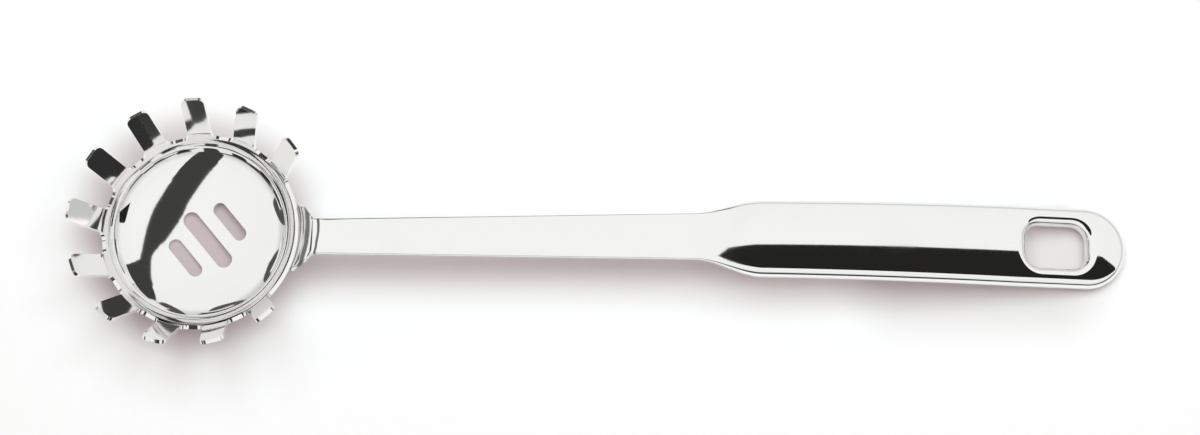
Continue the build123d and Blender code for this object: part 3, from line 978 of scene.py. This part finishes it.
def build_handle(sizes, head_sizes):
    """The handle as one closed body, in the shared frame."""
    form = HandleForm(sizes, head_sizes)
    shape = bmesh.new()
    made = [[shape.verts.new(point) for point in loop] for loop in foot_loops(form) + body_loops(form)]
    count = len(made[0])
    for a, b in zip(made, made[1:]):
        for k in range(count):
            after = (k + 1) % count
            shape.faces.new((a[k], a[after], b[after], b[k]))
    shape.faces.new(made[0])
    end_piece(form, shape)
    close_up(shape, HANDLE_MERGE)
    if not all(edge.is_manifold for edge in shape.edges):
        raise RuntimeError("the handle isn't closed")
    handle = mesh_object("pressed_handle", [], [])
    shape.to_mesh(handle.data)
    shape.free()
    finish_sheet(handle, sizes.edge_round, steel_materials()["polished_handle_steel"])
    return handle


# Stage

# Light on the table in general, for the camera, and the dark low on the camera's side for the metal
SOFT_LIGHT = (1.0, 0.74, 0.75)
SOFT_LIGHT_STRENGTH = 0.42
ROOM_DARK = 0.03
# Between these heights and depths of the direction the dark turns into the white walls
DARK_BELOW = (0.16, 0.26)
DARK_BEFORE = (-0.35, -0.15)
# Grey of the walls by the height of the direction, for the metal
WALL_TONES = ((0.0, 0.60), (0.10, 0.62), (0.24, 0.74), (0.5, 0.97), (1.0, 1.0))
# Outlines of the studio's dark panels, seen from above, in millimetres
GRIP_PANEL = ((45, -1), (49, 11), (62, 15.5), (193, 20.5), (264, 21.5), (323, -2), (485, -62), (64, -59), (48, -20))
HEAD_STRIP = (
    (-520, -910), (-302, -294), (-195, -103), (-164.8, -30.1), (-157.5, -22.2), (-151.8, -15.1), (-147.1, -8.9),
    (-144, -4.7), (-140.9, 0), (-137.1, 7.5), (-133.1, 15.7), (-128.6, 23), (-124.1, 29.8), (-119.7, 36),
    (-116, 41.6), (-114.3, 45.6), (-113.8, 50.3), (-113.6, 59.3), (-114.1, 70.5), (-115.7, 82.4), (-107, 115),
    (-82, 206), (-5, 480), (38, 330), (40, 146), (-58.3, 78.2), (-104, 50.9), (-105.1, 45.3), (-106.3, 38.9),
    (-107.7, 29.8), (-109.5, 20.4), (-111.8, 12.1), (-114.7, 4.2), (-118.7, -3.6), (-122.6, -10.4), (-125.1, -14.7),
    (-127.4, -18.5), (-126.9, -30.9), (-124.4, -57.8), (-127, -101), (-139, -179), (-166, -299), (-252, -636),
    (-300, -910))
# Their heights in millimetres, and the greys of the panels and of the uprights
GRIP_PANEL_HEIGHT, HEAD_STRIP_HEIGHT = 150.0, 120.0
GRIP_PANEL_GREY, HEAD_STRIP_GREY, UPRIGHT_GREY = 0.0175, 0.05, 0.09
# Bearings of the four dark uprights round the head's far and left side, in degrees
UPRIGHTS = (88, 118, 148, 178)
# Their common middle, distance from it, half width and height, in millimetres, and steps of their round top
UPRIGHT_MIDDLE = (-118.0, -2.0, 0.0)
UPRIGHT_DISTANCE, UPRIGHT_HALF_WIDTH, UPRIGHT_HEIGHT = 300.0, 50.0, 178.0
UPRIGHT_STEPS = 16
# Shade below the neck, below the grip, round the head, under the dish and under the hanging end: middle, half
# length along the handle, full and outer distance in metres, colour, and how much of it the metal mirrors
CONTACT_SHADES = (((-0.0125, -0.0025, 0.0), 0.0725, 0.003, 0.0135, (0.755, 0.73, 0.725), 0.0),
                  ((0.114, -0.01, 0.0), 0.021, 0.002, 0.026, (0.72, 0.69, 0.685), 0.0),
                  ((-0.1235, 0.004, 0.0), 0.0, 0.027, 0.042, (0.69, 0.62, 0.63), 0.0),
                  (HEAD_MIDDLE, 0.0, 0.015, 0.021, (0.55, 0.45, 0.465), 0.3),
                  ((0.1385, -0.00335, 0.0), 0.0, 0.011, 0.016, (0.78, 0.735, 0.73), 1.0))
TABLE_REACH = 3.0
# The table's own faint light: its colour, and its strengths at two distances in metres
TABLE_GLOW_COLOUR = (1.0, 0.95, 0.95)
TABLE_GLOW_DISTANCES, TABLE_GLOW_STRENGTHS = (0.25, 1.3), (0.08, 0.62)
# Where the table ends for the metal, and the dark beyond it
TABLE_FRONT = (-0.06, -0.11)
TABLE_DARK = (0.056, 0.056, 0.054)
LAMP_PLACE = (0.05, 0.22, 1.05)
LAMP_SIZE = (1.3, 0.9)
LAMP_POWER = 11.3
LAMP_COLOUR = (0.82, 1.0, 0.99)
# Width of the camera's sensor in millimetres, and its nearest distance in metres
SENSOR_WIDTH = 36.0
CLIP_START = 0.01


def studio_world():
    """Even soft light, and a white room with a dark camera side for the polished metal to mirror."""
    world = bpy.data.worlds.new("studio_room")
    bpy.context.scene.world = world
    world.use_nodes = True
    world.node_tree.nodes.clear()
    w = Wiring(world.node_tree)
    rays = w.add("LightPath").outputs
    parts = w.add("SeparateXYZ", {"Vector": w.add("TexCoord").outputs["Generated"]}).outputs
    # Low on the camera's side the room is dark
    low = w.ranged(parts["Z"], *DARK_BELOW, smooth=True)
    front = w.ranged(parts["Y"], *DARK_BEFORE, smooth=True)
    walls = w.add("ValToRGB", {"Fac": parts["Z"]})
    steps = walls.color_ramp.elements
    walls.color_ramp.interpolation = "EASE"
    steps[0].position, steps[1].position = WALL_TONES[0][0], WALL_TONES[-1][0]
    for position, value in WALL_TONES[1:-1]:
        steps.new(position)
    for element, (position, value) in zip(steps, WALL_TONES):
        element.color = grey(value, 0.985)
    room = w.blend(w.maths("MAXIMUM", low, front), grey(ROOM_DARK), walls.outputs["Color"])
    soft = w.first("Background", {"Color": opaque(SOFT_LIGHT), "Strength": SOFT_LIGHT_STRENGTH})
    plain = w.first("Background", {"Color": grey(1.0), "Strength": 1.0})
    mirror = w.first("Background", {"Color": room, "Strength": 1.0})
    seen = w.first("MixShader", {0: rays["Is Camera Ray"], 1: soft, 2: plain})
    w.add("OutputWorld", {"Surface": w.first("MixShader", {0: rays["Is Glossy Ray"], 1: seen, 2: mirror})})


def upright_outline(bearing):
    """A tall round-topped board that faces the head."""
    turn = radians(bearing)
    middle = Vector(UPRIGHT_MIDDLE) + UPRIGHT_DISTANCE * Vector((cos(turn), sin(turn), 0.0))
    aside = Vector((-sin(turn), cos(turn), 0.0))
    return [middle + aside * UPRIGHT_HALF_WIDTH * cos(step) + Vector((0, 0, UPRIGHT_HEIGHT * sin(step)))
            for step in stepped(0, pi, UPRIGHT_STEPS)]


def dark_card(name, outline, tone):
    """A dark card that only the metal mirrors."""
    card = mesh_object(name, [Vector(point) * MM for point in outline], [tuple(range(len(outline)))])
    material, w = empty_material(name + "_black")
    glow = w.first("Emission", {"Color": grey(tone, 0.95), "Strength": 1.0})
    w.add("OutputMaterial", {"Surface": glow})
    card.data.materials.append(material)
    for rays in ("camera", "diffuse", "shadow", "transmission"):
        setattr(card, "visible_" + rays, False)


def table_material(table_colour):
    """A pale table that keeps the object's soft shadow, with painted shade round the object."""
    material, w = empty_material("pale_table")
    here = w.here()
    glossy = w.add("LightPath").outputs["Is Glossy Ray"]
    tone = w.blend(w.noise(here, 180.0, 3.0), opaque(table_colour), opaque(v * 0.985 for v in table_colour))
    # Painted shade near the object, where light hardly reaches the table
    for middle, half_length, inner, outer, shade_colour, mirrored_share in CONTACT_SHADES:
        offset = w.vectors("ABSOLUTE", w.vectors("SUBTRACT", here, middle))
        offset = w.vectors("MAXIMUM", w.vectors("SUBTRACT", offset, (half_length, 0.0, 0.0)), (0.0, 0.0, 0.0))
        near = w.ranged(w.distance("LENGTH", offset), inner, outer, 1.0, 0.0, True)
        share = w.maths("MULTIPLY_ADD", glossy, mirrored_share - 1.0, 1.0)
        tone = w.blend(w.times(near, share), tone, opaque(shade_colour))
    body = w.first("BsdfDiffuse", {"Color": tone, "Roughness": 0.5})
    # Far out the lamp's light falls off, so the table makes up for it
    far = w.ranged(w.distance("LENGTH", here), *TABLE_GLOW_DISTANCES, *TABLE_GLOW_STRENGTHS, True)
    glow = w.first("Emission", {"Color": opaque(TABLE_GLOW_COLOUR), "Strength": far})
    pale = w.first("AddShader", {0: body, 1: glow})
    # In the metal the table ends at its near edge, with a dark room beyond it
    front = w.ranged(w.add("SeparateXYZ", {"Vector": here}).outputs["Y"], *TABLE_FRONT, smooth=True)
    dark = w.first("Emission", {"Color": opaque(TABLE_DARK), "Strength": 1.0})
    w.add("OutputMaterial", {"Surface": w.first("MixShader", {0: w.times(front, glossy), 1: pale, 2: dark})})
    return material


# Operators

class PASTA_OT_head(bpy.types.Operator):
    """Build the dished head with its prongs and drain slots"""
    bl_idname = "pasta.head"
    bl_label = "Build Head"

    def execute(self, context):
        head = build_head(context.scene.pasta_head)
        if not head.data.polygons:
            raise RuntimeError("the head has no faces")
        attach(head, BODY)
        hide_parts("head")
        return {"FINISHED"}


class PASTA_OT_handle(bpy.types.Operator):
    """Build the pressed handle with its foot, gooseneck and hanging hole"""
    bl_idname = "pasta.handle"
    bl_label = "Build Handle"

    def execute(self, context):
        handle = build_handle(context.scene.pasta_handle, context.scene.pasta_head)
        if not handle.data.polygons:
            raise RuntimeError("the handle has no faces")
        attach(handle, BODY)
        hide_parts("handle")
        return {"FINISHED"}


class PASTA_OT_welds(bpy.types.Operator):
    """Finish the two spot welds between the head and the foot"""
    bl_idname = "pasta.welds"
    bl_label = "Finish Spot Welds"

    def execute(self, context):
        material = steel_materials()["fused_weld_steel"]
        for name in ("spot_weld_1", "spot_weld_2"):
            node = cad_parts[name]
            if not node.material_slots:
                raise RuntimeError(f"{name} has no material slot")
            for material_slot in node.material_slots:
                material_slot.link = "OBJECT"
                material_slot.material = material
        return {"FINISHED"}


class PASTA_OT_stage(bpy.types.Operator):
    """Set out the pale table, the soft light and the camera"""
    bl_idname = "pasta.stage"
    bl_label = "Set the Stage"

    def execute(self, context):
        settings = context.scene.pasta_studio
        corners = [(x * TABLE_REACH, y * TABLE_REACH, 0) for x, y in ((-1, -1), (1, -1), (1, 1), (-1, 1))]
        table = mesh_object("table", corners, [(0, 1, 2, 3)])
        table.data.materials.append(table_material(settings.table_colour))
        studio_world()
        dark_card("dark_panel", [(x, y, GRIP_PANEL_HEIGHT) for x, y in GRIP_PANEL], GRIP_PANEL_GREY)
        dark_card("dark_strip", [(x, y, HEAD_STRIP_HEIGHT) for x, y in HEAD_STRIP], HEAD_STRIP_GREY)
        for index, bearing in enumerate(UPRIGHTS):
            dark_card(f"dark_upright_{index + 1}", upright_outline(bearing), UPRIGHT_GREY)
        lamp_data = change(bpy.data.lights.new("soft_window", "AREA"), shape="RECTANGLE", size=LAMP_SIZE[0],
                           size_y=LAMP_SIZE[1], energy=LAMP_POWER, color=LAMP_COLOUR)
        change(scene_object("soft_window", lamp_data), location=LAMP_PLACE, visible_glossy=False,
               rotation_euler=(-Vector(LAMP_PLACE)).to_track_quat("-Z", "Y").to_euler())
        camera_data = change(bpy.data.cameras.new("camera"), lens=settings.lens, sensor_width=SENSOR_WIDTH,
                             sensor_fit="HORIZONTAL", clip_start=CLIP_START)
        back = Vector((0, -cos(settings.camera_height), sin(settings.camera_height)))
        context.scene.camera = change(
            scene_object("camera", camera_data), rotation_euler=(pi / 2 - settings.camera_height, 0, 0),
            location=Vector(settings.target) + back * settings.camera_distance)
        context.scene.view_settings.view_transform = "Standard"
        return {"FINISHED"}


GROUPS = {"pasta_head": HeadSizes, "pasta_handle": HandleSizes, "pasta_finish": SteelFinish,
          "pasta_studio": StudioSettings}
OPERATORS = (PASTA_OT_head, PASTA_OT_handle, PASTA_OT_welds, PASTA_OT_stage)


class PASTA_PT_panel(bpy.types.Panel):
    """The pasta server's sizes and steps"""
    bl_label = "Pasta Server"
    bl_idname = "PASTA_PT_panel"
    bl_space_type = "VIEW_3D"
    bl_region_type = "UI"
    bl_category = "Pasta Server"

    def draw(self, context):
        for operator in OPERATORS:
            self.layout.operator(operator.bl_idname)
        for name in GROUPS:
            owner = getattr(context.scene, name)
            box = self.layout.box()
            for key in owner.__annotations__:
                box.prop(owner, key)


def register():
    """Register the classes and hang the sizes on the scene."""
    for made in (*GROUPS.values(), *OPERATORS, PASTA_PT_panel):
        bpy.utils.register_class(made)
    for key, made in GROUPS.items():
        setattr(bpy.types.Scene, key, bpy.props.PointerProperty(type=made))


def unregister():
    """Take the sizes off the scene and unregister the classes."""
    for key in GROUPS:
        delattr(bpy.types.Scene, key)
    for made in (PASTA_PT_panel, *OPERATORS[::-1], *list(GROUPS.values())[::-1]):
        bpy.utils.unregister_class(made)


def main():
    """Build everything in order."""
    register()
    bpy.ops.pasta.stage()
    bpy.ops.pasta.head()
    bpy.ops.pasta.handle()
    bpy.ops.pasta.welds()


if __name__ == "__main__":
    main()
